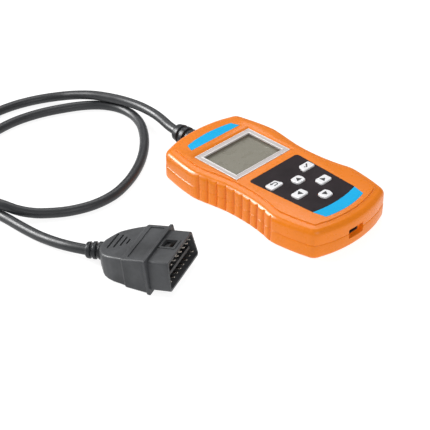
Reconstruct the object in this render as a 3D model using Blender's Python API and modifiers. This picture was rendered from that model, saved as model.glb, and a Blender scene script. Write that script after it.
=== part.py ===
"""OBD code reader: a hand-held reader with its lead and sixteen-pin diagnostic plug.

The reader lies on its back on the plane z = 0, with its cable end at +Y and +X on the user's right.
All the numbers below are in millimetres; MM turns them into metres.
"""
import math

import bmesh
import bpy
from mathutils import Matrix, Vector

MM = 0.001
GAP = 0.3                    # clearance between pieces that touch

# ---- reader case ----
CASE_END = 64.8              # half of the case's length
CASE_HEIGHT = 20.0
PARTING_Z = 9.5              # the plane where the two housings meet
WALL = 2.2
REAR_WALL = 3.1              # thicker, for the round lower edge
CAVITY_TOP = 17.0
SIDE_STATIONS = (            # (y, half width) from one sharp corner of the plan to the other
    (59.0, 30.9), (50.0, 32.8), (41.0, 34.4), (31.0, 35.4), (24.0, 34.7), (15.0, 33.1), (6.0, 31.9),
    (-4.0, 31.7), (-13.0, 32.2), (-22.0, 33.5), (-31.0, 35.3), (-40.0, 34.5), (-49.0, 32.9),
    (-58.8, 30.5))
SIDE_SPACING = 4.5
CABLE_END_RADIUS = 85.0      # radius of the curved end wall with the cable
PORT_END_RADIUS = 80.0       # radius of the curved end wall with the USB port
CORNER_RADIUS = 6.7
CORNER_STEPS = 5
TOP_EDGE_RADIUS = 3.8
BAND_INNER = 6.1             # inset of the raised middle of the top face
BAND_Z = 19.45
BOTTOM_EDGE_RADIUS = 3.0

# ---- grip flutes down both sides ----
FLUTE_COUNT = 10
FLUTE_PITCH = 6.21
FLUTE_FIRST_Y = 26.2
FLUTE_RADIUS = 1.5
FLUTE_DEPTH = 0.9
FLUTE_Z = (1.4, 17.2)

# ---- display ----
LCD_Y = 23.9
FRAME_OUTER = (23.0, 17.1)
FRAME_INNER = (19.2, 13.35)
FRAME_Z = (18.3, 19.0)
POCKET_FLOOR = 18.0
POCKET_SLOPE = 2.0
DISPLAY_OPENING = (20.4, 14.6)

# ---- keypad ----
LABEL_TOP_Z = 20.05
LABEL_THICKNESS = 0.3
KEYPAD_TOP = (20.5, -0.4)            # half width and y of the black label's upper edge
KEYPAD_BOTTOM = (17.8, -46.0)        # half width and y where black meets blue
LOWER_BAND_BOTTOM = (16.0, -53.8)    # half width and y of the lower blue band's lower edge
BAND_SAG = 2.2                       # how far the label's lower arcs bulge
ARC_STEPS = 8
UPPER_BAND_LOW = (20.3, 46.2)
UPPER_BAND_HIGH = (18.5, 51.6)
KEY_TOP_Z = 20.95
KEY_STEM_Z = 15.7
KEY_FLANGE_TOP = 16.7
KEY_FLANGE = 0.9

# ---- circuit board ----
BOARD_Z = (8.6, 10.2)
SWITCH_TOP = 14.9

# ---- screws ----
SCREW_PLACES = ((25.0, 49.5), (-25.0, 49.5), (24.3, -50.5), (-24.3, -50.5))
SCREW_SEAT_Z = 2.7

# ---- cable gland ----
GLAND_Z = 9.8
GLAND_END_Y = 80.2

# ---- USB port ----
PORT_X = -2.2                        # the port sits a little off the middle of the end wall
PORT_Z = 9.2
PORT_POCKET = (5.9, 3.0)             # half width and half height of the pocket in the end wall
PORT_POCKET_DEPTH = 2.6
PORT_THROAT = (4.2, 2.4)             # half width and half height of the hole for the socket
PORT_PAD = (8.5, 15.0)               # half width and top of the thicker wall behind the pocket
PORT_PAD_Y = (-63.4, -60.8)
SOCKET_HALF = (3.85, 1.95)           # half width and half height of the USB socket
SOCKET_DEPTH = 9.0

# ---- lead and diagnostic plug ----
CORD_RADIUS = 3.0
CORD_SPACING = 11.0
FLOOR = CORD_RADIUS + 0.10           # height of the lead's centre where it lies on the table
CORD_ROUTE = (
    (0.0, 80.5, 9.8), (0.9, 88.0, 9.9), (2.7, 95.2, 9.9), (4.2, 102.6, 9.9), (4.8, 110.5, 9.9),
    (4.6, 118.0, 9.9), (3.5, 126.0, 9.8), (1.5, 134.0, 9.7), (-1.7, 142.5, 9.6), (-6.0, 152.2, 9.0),
    (-11.2, 162.6, 7.2), (-18.4, 173.2, 4.8), (-29.5, 182.0, 3.3), (-44.0, 186.9, FLOOR),
    (-59.0, 188.4, FLOOR), (-75.5, 187.4, FLOOR), (-92.5, 182.4, FLOOR), (-107.6, 173.3, FLOOR),
    (-119.0, 160.8, 4.0), (-127.0, 146.4, 7.0), (-131.2, 131.0, 9.2), (-130.7, 115.6, 9.7),
    (-127.8, 103.5, 9.6), (-124.0, 93.6, 8.9), (-118.8, 85.8, 6.3), (-112.2, 79.8, 4.2),
    (-104.6, 74.2, 3.3), (-95.6, 68.4, FLOOR), (-82.5, 63.6, FLOOR), (-68.0, 63.0, FLOOR),
    (-54.0, 66.8, FLOOR), (-41.0, 73.0, FLOOR), (-29.2, 80.9, FLOOR), (-18.4, 90.4, FLOOR),
    (-9.0, 101.2, FLOOR), (-2.0, 112.4, FLOOR), (1.6, 123.8, FLOOR), (1.2, 135.2, FLOOR),
    (-3.6, 145.8, FLOOR), (-12.2, 154.2, FLOOR), (-24.5, 161.2, FLOOR), (-39.3, 167.2, FLOOR),
    (-56.0, 170.4, FLOOR), (-73.0, 169.6, FLOOR), (-90.0, 165.0, FLOOR), (-105.8, 156.0, FLOOR),
    (-118.5, 143.6, FLOOR), (-126.2, 129.5, FLOOR), (-128.8, 115.0, FLOOR), (-127.2, 101.0, FLOOR),
    (-125.8, 87.5, FLOOR), (-124.9, 74.0, FLOOR), (-123.7, 61.8, 3.4), (-121.9, 50.2, 4.4),
    (-119.3, 40.0, 5.4), (-115.3, 30.4, 6.0))
PLUG_RELIEF_ROOT = (-2.0, 46.6, 2.35)    # in the plug's own frame
PLUG_MOUTH = (-91.0, -19.2, 12.4)    # centre of the plug's open face
PLUG_HEADING = math.radians(22.0)    # turn of the plug about the vertical
PLUG_TILT = math.radians(10.0)       # nose up: the overmould rests on its flat underside
SHROUD_DEPTH = 11.8
SHROUD_TOP = (15.6, 8.4)             # half width and height of the narrow side
SHROUD_BOTTOM = (18.4, -8.4)
SHROUD_WALL = 1.3
PIN_PITCH = 4.0
PIN_ROW_HEIGHT = 4.0
PIN_SIZE = (1.5, 0.7)

COLLECTION = "obd_code_reader"


# ------------------------------------------------------------------ scene and materials
def clear_scene():
    for old in list(bpy.data.objects):
        bpy.data.objects.remove(old, do_unlink=True)


def add_collection(name):
    group = bpy.data.collections.new(name)
    bpy.context.scene.collection.children.link(group)
    return group


def make_material(name, color, roughness, metallic=0.0):
    material = bpy.data.materials.new(name)
    material.use_nodes = True
    shader = material.node_tree.nodes["Principled BSDF"]
    shader.inputs["Base Color"].default_value = (*color, 1.0)
    shader.inputs["Roughness"].default_value = roughness
    shader.inputs["Metallic"].default_value = metallic
    material.diffuse_color = (*color, 1.0)
    return material


# ------------------------------------------------------------------ building blocks
def add_object(name, mesh, material=None):
    piece = bpy.data.objects.new(name, mesh)
    if material is None:
        CUTTERS.objects.link(piece)
        piece.hide_render = True
        piece.display_type = "WIRE"
    else:
        PARTS.objects.link(piece)
        mesh.materials.append(material)
    return piece


def mesh_from(bm, name):
    bmesh.ops.recalc_face_normals(bm, faces=bm.faces)
    mesh = bpy.data.meshes.new(name)
    bm.to_mesh(mesh)
    bm.free()
    mesh.shade_smooth()
    mesh.set_sharp_from_angle(angle=math.radians(32))
    return mesh


def loft(name, rings, material=None):
    """A closed solid through rings of (x, y, z) points in millimetres, capped at both ends."""
    bm = bmesh.new()
    loops = [[bm.verts.new(Vector(point) * MM) for point in ring] for ring in rings]
    count = len(loops[0])
    for lower, upper in zip(loops, loops[1:]):
        for i in range(count):
            j = (i + 1) % count
            bm.faces.new((lower[i], lower[j], upper[j], upper[i]))
    bm.faces.new(reversed(loops[0]))
    bm.faces.new(loops[-1])
    return add_object(name, mesh_from(bm, name), material)


def prism(name, outline, z_low, z_high, material=None):
    return loft(name, [[(x, y, z) for x, y in outline] for z in (z_low, z_high)], material)


def box(name, low, high, material=None):
    bm = bmesh.new()
    bmesh.ops.create_cube(bm, size=1.0)
    size = [b - a for a, b in zip(low, high)]
    middle = [(a + b) / 2 for a, b in zip(low, high)]
    bmesh.ops.scale(bm, vec=Vector(size) * MM, verts=bm.verts)
    bmesh.ops.translate(bm, vec=Vector(middle) * MM, verts=bm.verts)
    return add_object(name, mesh_from(bm, name), material)


def cylinder(name, centre, z_low, z_high, radius, sides=20, material=None):
    bm = bmesh.new()
    bmesh.ops.create_cone(bm, cap_ends=True, segments=sides, radius1=radius * MM, radius2=radius * MM,
                          depth=(z_high - z_low) * MM)
    middle = Vector((centre[0], centre[1], (z_low + z_high) / 2)) * MM
    bmesh.ops.translate(bm, vec=middle, verts=bm.verts)
    return add_object(name, mesh_from(bm, name), material)


def many(name, makers):
    """One cutter mesh out of several separate solids."""
    bm = bmesh.new()
    for piece in makers:
        bm.from_mesh(piece.data)
        mesh = piece.data
        bpy.data.objects.remove(piece)
        bpy.data.meshes.remove(mesh)
    mesh = bpy.data.meshes.new(name)
    bm.to_mesh(mesh)
    bm.free()
    return add_object(name, mesh)


def combine(piece, tool, operation):
    modifier = piece.modifiers.new(operation.title(), "BOOLEAN")
    modifier.operation = operation
    modifier.object = tool
    modifier.solver = "EXACT"


def cut(piece, *tools):
    for tool in tools:
        combine(piece, tool, "DIFFERENCE")


def join(piece, *tools):
    for tool in tools:
        combine(piece, tool, "UNION")


def turned(name, profile, start, direction, sides, material):
    """A turned solid: profile is (distance along the axis, radius) from the far end to the start."""
    mesh = bpy.data.meshes.new(name)
    points = [(radius * MM, 0.0, along * MM) for along, radius in profile]
    edges = [(i, i + 1) for i in range(len(points) - 1)]
    mesh.from_pydata(points, edges, [])
    piece = add_object(name, mesh, material)
    screw = piece.modifiers.new("Turn", "SCREW")
    screw.axis = "Z"
    screw.steps = sides
    screw.render_steps = sides
    screw.use_merge_vertices = True
    screw.merge_threshold = 0.00001
    screw.use_smooth_shade = False
    piece.location = Vector(start) * MM
    piece.rotation_euler = Vector(direction).to_track_quat("Z", "Y").to_euler()
    return piece


def smooth_route(points, spacing):
    """Evenly spaced points on a centripetal Catmull-Rom curve through the given points."""
    knots = [Vector(point) for point in points]
    knots = [2 * knots[0] - knots[1]] + knots + [2 * knots[-1] - knots[-2]]
    fine = []
    for p0, p1, p2, p3 in zip(knots, knots[1:], knots[2:], knots[3:]):
        t1 = (p1 - p0).length ** 0.5
        t2 = t1 + (p2 - p1).length ** 0.5
        t3 = t2 + (p3 - p2).length ** 0.5
        for step in range(24):
            t = t1 + (t2 - t1) * step / 24
            a1 = p0.lerp(p1, t / t1)
            a2 = p1.lerp(p2, (t - t1) / (t2 - t1))
            a3 = p2.lerp(p3, (t - t2) / (t3 - t2))
            b1 = a1.lerp(a2, t / t2)
            b2 = a2.lerp(a3, (t - t1) / (t3 - t1))
            fine.append(b1.lerp(b2, (t - t1) / (t2 - t1)))
    fine.append(knots[-2])
    travelled = [0.0]
    for a, b in zip(fine, fine[1:]):
        travelled.append(travelled[-1] + (b - a).length)
    pieces = round(travelled[-1] / spacing)
    even = []
    segment = 0
    for i in range(pieces + 1):
        target = travelled[-1] * i / pieces
        while segment < len(fine) - 2 and travelled[segment + 1] < target:
            segment += 1
        part = (target - travelled[segment]) / (travelled[segment + 1] - travelled[segment])
        even.append(fine[segment].lerp(fine[segment + 1], part))
    return even


def tube(name, points, radius, resolution, material):
    curve = bpy.data.curves.new(name, "CURVE")
    curve.dimensions = "3D"
    curve.bevel_depth = radius * MM
    curve.bevel_resolution = resolution
    curve.use_fill_caps = True
    spline = curve.splines.new("POLY")
    spline.points.add(len(points) - 1)
    for slot, point in zip(spline.points, points):
        slot.co = (*(Vector(point) * MM), 1.0)
    piece = bpy.data.objects.new(name, curve)
    curve.materials.append(material)
    PARTS.objects.link(piece)
    return piece


# ------------------------------------------------------------------ outlines
def half_width(y):
    """Half of the case's width at y: a smooth curve through the side stations."""
    last = len(SIDE_STATIONS) - 2
    i = next((n for n in range(last) if y >= SIDE_STATIONS[n + 1][0]), last)
    (y1, w1), (y2, w2) = SIDE_STATIONS[i], SIDE_STATIONS[i + 1]
    y0, w0 = SIDE_STATIONS[max(i - 1, 0)]
    y3, w3 = SIDE_STATIONS[min(i + 2, last + 1)]
    slope1 = (w2 - w0) / (y2 - y0)
    slope2 = (w3 - w1) / (y3 - y1)
    span = y2 - y1
    t = (y - y1) / span
    return ((2 * t**3 - 3 * t**2 + 1) * w1 + (t**3 - 2 * t**2 + t) * span * slope1
            + (3 * t**2 - 2 * t**3) * w2 + (t**3 - t**2) * span * slope2)


def arc_y(x, end_y, radius):
    """y of a curved end wall at x, for an arc whose furthest point is end_y."""
    return end_y - math.copysign(radius - math.sqrt(radius**2 - x**2), end_y)


def fillet(before, corner, after, radius, steps):
    """Points of an arc that rounds a corner between two straight directions."""
    a = (Vector(before) - Vector(corner)).normalized()
    b = (Vector(after) - Vector(corner)).normalized()
    half = a.angle(b) / 2
    reach = radius / math.tan(half)
    middle = Vector(corner) + (a + b).normalized() * radius / math.sin(half)
    start = Vector(corner) + a * reach - middle
    end = Vector(corner) + b * reach - middle
    turn = start.angle_signed(end)
    points = []
    for i in range(steps + 1):
        spin = Matrix.Rotation(-turn * i / steps, 2)
        points.append(tuple(middle + spin @ start))
    return points


def rounded_polygon(corners, radius, steps=3):
    points = []
    count = len(corners)
    for i, corner in enumerate(corners):
        points += fillet(corners[i - 1], corner, corners[(i + 1) % count], radius, steps)
    return points


def offset_outline(outline, distance):
    """The outline moved outwards (or inwards when negative); the points run anticlockwise."""
    moved = []
    count = len(outline)
    for i, point in enumerate(outline):
        before = Vector(point) - Vector(outline[i - 1])
        after = Vector(outline[(i + 1) % count]) - Vector(point)
        normal = before.normalized() + after.normalized()
        normal = Vector((normal.y, -normal.x)).normalized()
        edge = before.normalized()
        stretch = 1.0 / max(0.5, normal.dot(Vector((edge.y, -edge.x))))
        moved.append(tuple(Vector(point) + normal * distance * stretch))
    return moved


def mirrored(points):
    return [(-x, y) for x, y in reversed(points)]


def case_outline():
    """Plan of the case, anticlockwise from the middle of the port end."""
    (top_y, top_x), (low_y, low_x) = SIDE_STATIONS[0], SIDE_STATIONS[-1]
    port_end = [(x, arc_y(x, -CASE_END, PORT_END_RADIUS)) for x in (0.0, 6.0, 12.5, 19.0)]
    cable_end = [(x, arc_y(x, CASE_END, CABLE_END_RADIUS)) for x in (19.0, 12.5, 6.0, 0.0)]
    side_low, side_top = low_y + CORNER_RADIUS + 1.5, top_y - CORNER_RADIUS - 1.5
    rows = round((side_top - side_low) / SIDE_SPACING)
    heights = [side_low + (side_top - side_low) * i / rows for i in range(rows + 1)]
    side = [(half_width(y), y) for y in heights]
    low_corner = fillet(port_end[-1], (low_x, low_y), side[0], CORNER_RADIUS, CORNER_STEPS)
    top_corner = fillet(side[-1], (top_x, top_y), cable_end[0], CORNER_RADIUS, CORNER_STEPS)
    right = port_end + low_corner + side + top_corner + cable_end
    return right + mirrored(right[1:-1])


def rectangle(half_x, half_y, centre_y):
    return [(-half_x, centre_y - half_y), (half_x, centre_y - half_y),
            (half_x, centre_y + half_y), (-half_x, centre_y + half_y)]


def sagging_edge(half, y, sag):
    """Points from left to right on a shallow arc; its middle lies sag below its ends."""
    points = []
    for i in range(ARC_STEPS + 1):
        x = -half + 2 * half * i / ARC_STEPS
        points.append((x, y - sag * (1 - (x / half) ** 2)))
    return points


def keypad_outline():
    lower = sagging_edge(KEYPAD_BOTTOM[0], KEYPAD_BOTTOM[1], BAND_SAG)
    half, y = KEYPAD_TOP
    right = fillet(lower[-1], (half, y), (-half, y), 2.0, 3)
    return lower + right + mirrored(right)


def lower_band_outline():
    lower = sagging_edge(LOWER_BAND_BOTTOM[0], LOWER_BAND_BOTTOM[1], BAND_SAG)
    upper = sagging_edge(KEYPAD_BOTTOM[0] - 0.15, KEYPAD_BOTTOM[1] - GAP, BAND_SAG)
    return lower + list(reversed(upper))


def upper_band_outline():
    upper = sagging_edge(UPPER_BAND_HIGH[0], UPPER_BAND_HIGH[1], -BAND_SAG)
    half, y = UPPER_BAND_LOW
    return [(-half, y), (half, y)] + list(reversed(upper))


def key_outlines():
    """Name, outline of each key, anticlockwise."""
    back = rounded_polygon([(-18.4, -16.3), (-8.2, -16.3), (-10.3, -10.7), (-18.4, -10.7)], 1.0)
    confirm = mirrored(back)
    left = rounded_polygon([(-14.7, -32.4), (-5.4, -32.4), (-5.9, -26.6), (-14.7, -26.6)], 1.2)
    right = mirrored(left)
    arrow = [(-3.2, -3.1), (3.2, -3.1), (4.0, 0.0), (3.2, 3.1), (-3.2, 3.1), (-4.0, 0.0)]
    up = rounded_polygon([(x, y - 19.4) for x, y in arrow], 1.4, 2)
    down = rounded_polygon([(x, y - 39.7) for x, y in arrow], 1.4, 2)
    return {"back": back, "confirm": confirm, "up": up, "left": left, "right": right, "down": down}


def outline_centre(outline):
    low = [min(point[axis] for point in outline) for axis in (0, 1)]
    high = [max(point[axis] for point in outline) for axis in (0, 1)]
    return (low[0] + high[0]) / 2, (low[1] + high[1]) / 2


# ------------------------------------------------------------------ reader
def ring_at(outline, inset, z):
    return [(x, y, z) for x, y in offset_outline(outline, -inset)]


def rounded_rings(outline, centre_z, radius, inset_start, upward, steps=4):
    """Rings of a quarter-round edge, from the upright wall to the flat face."""
    rings = []
    for i in range(steps + 1):
        angle = math.pi / 2 * i / steps
        inset = inset_start + radius * (1 - math.cos(angle))
        z = centre_z + radius * math.sin(angle) * (1 if upward else -1)
        rings.append(ring_at(outline, inset, z))
    return rings


def flute_cutter():
    flutes = []
    for i in range(FLUTE_COUNT):
        y = FLUTE_FIRST_Y - FLUTE_PITCH * i
        x = half_width(y) + FLUTE_RADIUS - FLUTE_DEPTH
        for side in (-1, 1):
            flutes.append(cylinder("flute", (side * x, y), *FLUTE_Z, FLUTE_RADIUS, 12))
    return many("cut_grip_flutes", flutes)


def port_box(name, half, y_range, z_range, material=None):
    """A box centred on the USB port's own x."""
    low = (PORT_X - half, y_range[0], z_range[0])
    return box(name, low, (PORT_X + half, y_range[1], z_range[1]), material)


def make_front_housing(outline, keys, shared):
    edge_z = CASE_HEIGHT - 1.0 - TOP_EDGE_RADIUS
    rings = [ring_at(outline, 0.0, PARTING_Z + GAP / 2)]
    rings += rounded_rings(outline, edge_z, TOP_EDGE_RADIUS, 0.15, True)
    rings.append(ring_at(outline, BAND_INNER - 0.2, BAND_Z))
    rings.append(ring_at(outline, BAND_INNER, CASE_HEIGHT))
    housing = loft("front_housing", rings, ORANGE)
    cut(housing, prism("cut_front_cavity", offset_outline(outline, -WALL), 0.0, CAVITY_TOP))
    posts = [cylinder("post", place, PARTING_Z + GAP / 2, CAVITY_TOP + 0.5, 3.2) for place in SCREW_PLACES]
    join(housing, many("join_front_posts", posts))
    pad_heights = (PARTING_Z + GAP / 2, PORT_PAD[1])
    join(housing, port_box("join_front_pad", PORT_PAD[0], PORT_PAD_Y, pad_heights))
    pilots = [cylinder("pilot", place, 0.0, 15.6, 1.25 + GAP) for place in SCREW_PLACES]
    cut(housing, many("cut_pilot_holes", pilots))
    outer = rectangle(FRAME_OUTER[0] + GAP, FRAME_OUTER[1] + GAP, LCD_Y)
    wide = rectangle(FRAME_OUTER[0] + POCKET_SLOPE, FRAME_OUTER[1] + POCKET_SLOPE, LCD_Y)
    wider = rectangle(FRAME_OUTER[0] + 2 * POCKET_SLOPE, FRAME_OUTER[1] + 2 * POCKET_SLOPE, LCD_Y)
    levels = ((outer, POCKET_FLOOR), (outer, FRAME_Z[1] - 0.3), (wide, CASE_HEIGHT), (wider, 21.2))
    cut(housing, loft("cut_display_pocket", [[(x, y, z) for x, y in shape] for shape, z in levels]))
    cut(housing, prism("cut_display_opening", rectangle(*DISPLAY_OPENING, LCD_Y), 15.0, 19.0))
    label_floor = LABEL_TOP_Z - LABEL_THICKNESS - GAP
    keypad = keypad_outline()
    label = lower_band_outline()[:ARC_STEPS + 1] + keypad[ARC_STEPS:] + keypad[:1]
    recesses = [prism("recess", offset_outline(shape, GAP), label_floor, 22.0)
                for shape in (label, upper_band_outline())]
    cut(housing, many("cut_label_recesses", recesses))
    openings = [prism("opening", offset_outline(shape, GAP), 15.0, 22.0) for shape in keys.values()]
    cut(housing, many("cut_key_openings", openings))
    cut(housing, *shared)


def make_rear_housing(outline, shared):
    rings = list(reversed(rounded_rings(outline, BOTTOM_EDGE_RADIUS, BOTTOM_EDGE_RADIUS, 0.0, False)))
    rings.append(ring_at(outline, 0.0, PARTING_Z - GAP / 2))
    housing = loft("rear_housing", rings, ORANGE_REAR)
    cut(housing, prism("cut_rear_cavity", offset_outline(outline, -REAR_WALL), 2.0, 11.0))
    posts = [cylinder("post", place, 1.5, PARTING_Z - GAP / 2, 4.3) for place in SCREW_PLACES]
    join(housing, many("join_rear_posts", posts))
    join(housing, port_box("join_rear_pad", PORT_PAD[0], PORT_PAD_Y, (1.5, PARTING_Z - GAP / 2)))
    holes = [cylinder("hole", place, -1.0, 11.0, 1.25 + GAP) for place in SCREW_PLACES]
    cut(housing, many("cut_screw_holes", holes))
    seats = [cylinder("seat", place, -1.0, SCREW_SEAT_Z, 2.9) for place in SCREW_PLACES]
    cut(housing, many("cut_screw_seats", seats))
    sticker = rounded_polygon(rectangle(20.3, 25.3, 4.0), 2.0)
    cut(housing, prism("cut_rear_label_recess", sticker, -1.0, 0.6))
    cut(housing, *shared)


def make_shared_cutters():
    """Cuts that cross both housings: grip flutes, gland hole and USB pocket."""
    gland = turned("cut_gland_hole", [(8.0, 0.0), (8.0, 4.0), (-4.0, 4.0), (-4.0, 0.0)],
                   (0.0, CASE_END - 3.0, GLAND_Z), (0, 1, 0), 24, None)
    half_x, half_z = PORT_POCKET
    mouth = port_box("mouth", half_x, (-CASE_END - 5, -CASE_END + PORT_POCKET_DEPTH),
                     (PORT_Z - half_z, PORT_Z + half_z))
    half_x, half_z = PORT_THROAT
    throat = port_box("throat", half_x, (-CASE_END - 4, -CASE_END + 8),
                      (PORT_Z - half_z, PORT_Z + half_z))
    return [flute_cutter(), gland, mouth, throat]


def make_display():
    frame = prism("display_frame", rectangle(*FRAME_OUTER, LCD_Y), *FRAME_Z, SILVER)
    cut(frame, prism("cut_frame_window", rectangle(*FRAME_INNER, LCD_Y), 17.0, 21.0))
    lens_half = [half - GAP for half in DISPLAY_OPENING]
    prism("display_window", rectangle(*lens_half, LCD_Y), 17.0, 18.0, CLEAR)
    prism("lcd_panel", rectangle(21.6, 16.2, LCD_Y), 15.2, 16.7, LCD_GREY)
    holder = prism("lcd_holder", rectangle(21.6, 16.2, LCD_Y), BOARD_Z[1] + GAP, 14.9, WHITE_PLASTIC)
    cut(holder, prism("cut_holder_hollow", rectangle(19.6, 14.2, LCD_Y), 8.0, 13.4))


def make_labels(keys):
    z_low, z_high = LABEL_TOP_Z - LABEL_THICKNESS, LABEL_TOP_Z
    overlay = prism("keypad_overlay", keypad_outline(), z_low, z_high, BLACK_LABEL)
    openings = [prism("opening", offset_outline(shape, GAP), 19.0, 21.0) for shape in keys.values()]
    cut(overlay, many("cut_overlay_openings", openings))
    prism("lower_blue_band", lower_band_outline(), z_low, z_high, BLUE)
    prism("upper_blue_band", upper_band_outline(), z_low, z_high, BLUE_UPPER)
    prism("rear_label", rounded_polygon(rectangle(20.0, 25.0, 4.0), 1.7), 0.1, 0.3, PAPER)


def make_keys(keys):
    for name, shape in keys.items():
        centre = outline_centre(shape)
        flange = offset_outline(shape, KEY_FLANGE)
        levels = ((flange, KEY_STEM_Z), (flange, KEY_FLANGE_TOP), (shape, KEY_FLANGE_TOP),
                  (shape, KEY_TOP_Z - 0.3), (offset_outline(shape, -0.35), KEY_TOP_Z))
        rings = [[(x - centre[0], y - centre[1], z) for x, y in ring] for ring, z in levels]
        key = loft(f"{name}_key", rings, KEY_WHITE)
        key.location = Vector((*centre, 0.0)) * MM
        x, y = centre
        low, high = (x - 3, y - 3, BOARD_Z[1] + GAP), (x + 3, y + 3, 13.8)
        base = box(f"{name}_switch", low, high, SWITCH_STEEL)
        join(base, cylinder(f"join_{name}_plunger", centre, 13.0, SWITCH_TOP, 1.6, 14))


def make_board():
    low, high = BOARD_Z
    half = [(19.4, -57.4), (19.4, -46.0), (26.4, -44.0), (26.4, 43.0), (19.4, 45.0), (19.4, 56.0)]
    outline = half + mirrored(half)
    board = prism("main_board", outline, low, high, BOARD_GREEN)
    notch_end = -CASE_END + PORT_POCKET_DEPTH + SOCKET_DEPTH + 0.5
    cut(board, port_box("cut_socket_notch", SOCKET_HALF[0] + 0.45, (-60.0, notch_end), (low - 1, high + 1)))
    z = high + GAP
    box("processor_chip", (-5.0, -52.0, z), (5.0, -44.0, z + 1.4), CHIP_BLACK)
    box("bus_transceiver_chip", (-24.5, 36.0, low - GAP - 1.5), (-18.5, 41.0, low - GAP), CHIP_BLACK)
    box("voltage_regulator", (17.0, 33.0, low - GAP - 2.2), (24.0, 40.0, low - GAP), CHIP_BLACK)
    crystal = rounded_polygon(rectangle(5.2, 2.1, -53.0), 1.9)
    prism("clock_crystal", [(x + 13.5, y) for x, y in crystal], z, z + 3.2, STEEL)
    header = box("lead_header", (-7.5, 44.0, z), (7.5, 50.0, z + 5.2), WHITE_PLASTIC)
    cut(header, box("cut_header_mouth", (-6.3, 45.5, z + 1.2), (6.3, 53.0, z + 4.0)))


def make_usb_socket():
    """The socket stands in the board's notch, level with the board."""
    half_x, half_z = SOCKET_HALF
    front = -CASE_END + PORT_POCKET_DEPTH + 0.1
    shell = port_box("usb_socket_shell", half_x, (front, front + SOCKET_DEPTH),
                     (PORT_Z - half_z, PORT_Z + half_z), STEEL)
    mouth = port_box("cut_usb_mouth", half_x - 0.55, (front - 1.0, front + SOCKET_DEPTH - 1.4),
                     (PORT_Z - half_z + 0.5, PORT_Z + half_z - 0.5))
    cut(shell, mouth)
    port_box("usb_contact_tongue", 2.4, (front + 1.0, front + SOCKET_DEPTH - 1.7),
             (PORT_Z - 0.45, PORT_Z + 0.45), CHIP_BLACK)


def make_screws():
    for number, place in enumerate(SCREW_PLACES, 1):
        head_low, seat = 0.7, SCREW_SEAT_Z - GAP
        profile = [(15.0, 0.0), (15.0, 1.25), (seat, 1.25), (seat, 2.5), (head_low, 2.5), (head_low, 0.0)]
        screw = turned(f"case_screw_{number}", profile, (*place, 0.0), (0, 0, 1), 16, STEEL)
        bars = [box("bar", (place[0] - 1.7, place[1] - 0.35, 0.0), (place[0] + 1.7, place[1] + 0.35, 1.5)),
                box("bar", (place[0] - 0.35, place[1] - 1.7, 0.0), (place[0] + 0.35, place[1] + 1.7, 1.5))]
        cut(screw, *bars)


def make_gland():
    """The strain relief: flange inside the case, neck through the wall, three rings outside."""
    inner_face = CASE_END - REAR_WALL - GAP
    start = inner_face - 2.4
    profile = [(GLAND_END_Y, 0.0), (GLAND_END_Y, 4.3), (GLAND_END_Y - 0.6, 5.1), (GLAND_END_Y - 4.4, 6.0),
               (GLAND_END_Y - 4.9, 4.7), (GLAND_END_Y - 6.7, 4.7), (GLAND_END_Y - 7.0, 6.1),
               (GLAND_END_Y - 9.6, 6.2), (GLAND_END_Y - 9.9, 4.8), (GLAND_END_Y - 11.6, 4.8),
               (GLAND_END_Y - 11.9, 6.2), (CASE_END + 0.7, 6.2), (CASE_END + 0.7, 3.7), (inner_face, 3.7),
               (inner_face, 5.6), (start, 5.6), (start, 0.0)]
    turned("cable_gland", [(y - start, radius) for y, radius in profile], (0.0, start, GLAND_Z), (0, 1, 0),
           24, CORD_RUBBER)
    lead_start = start - GAP
    header_face = BOARD_Z[1] + GAP + 2.6
    leads = [(0.0, lead_start, GLAND_Z + 2.2), (0.0, lead_start - 3.0, GLAND_Z + 2.6),
             (0.0, 51.5, header_face)]
    tube("inner_lead_bundle", smooth_route(leads, 2.0), 1.3, 2, CORD_RUBBER)


# ------------------------------------------------------------------ lead and plug
def plug_matrix():
    """Plug frame: x along the pin rows, y from the open face to the lead, z up, in metres."""
    spin = Matrix.Rotation(PLUG_HEADING, 4, "Z")
    tilt = Matrix.Rotation(-PLUG_TILT, 4, "X")
    return Matrix.Translation(Vector(PLUG_MOUTH) * MM) @ spin @ tilt


def floor_height(y):
    """The plug frame's z where it meets the table, at y along the plug."""
    return (y * math.sin(PLUG_TILT) - PLUG_MOUTH[2] + 0.05) / math.cos(PLUG_TILT)


def section(y, top, bottom, radius, steps=2, shift=0.0):
    """A plug cross-section at y: half widths and heights of its top and bottom sides."""
    corners = [(-bottom[0], bottom[1]), (bottom[0], bottom[1]), (top[0], top[1]), (-top[0], top[1])]
    return [(x + shift, y, z) for x, z in rounded_polygon(corners, radius, steps)]


def plug_piece(piece):
    piece.matrix_world = PLUG_FRAME
    return piece


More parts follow.
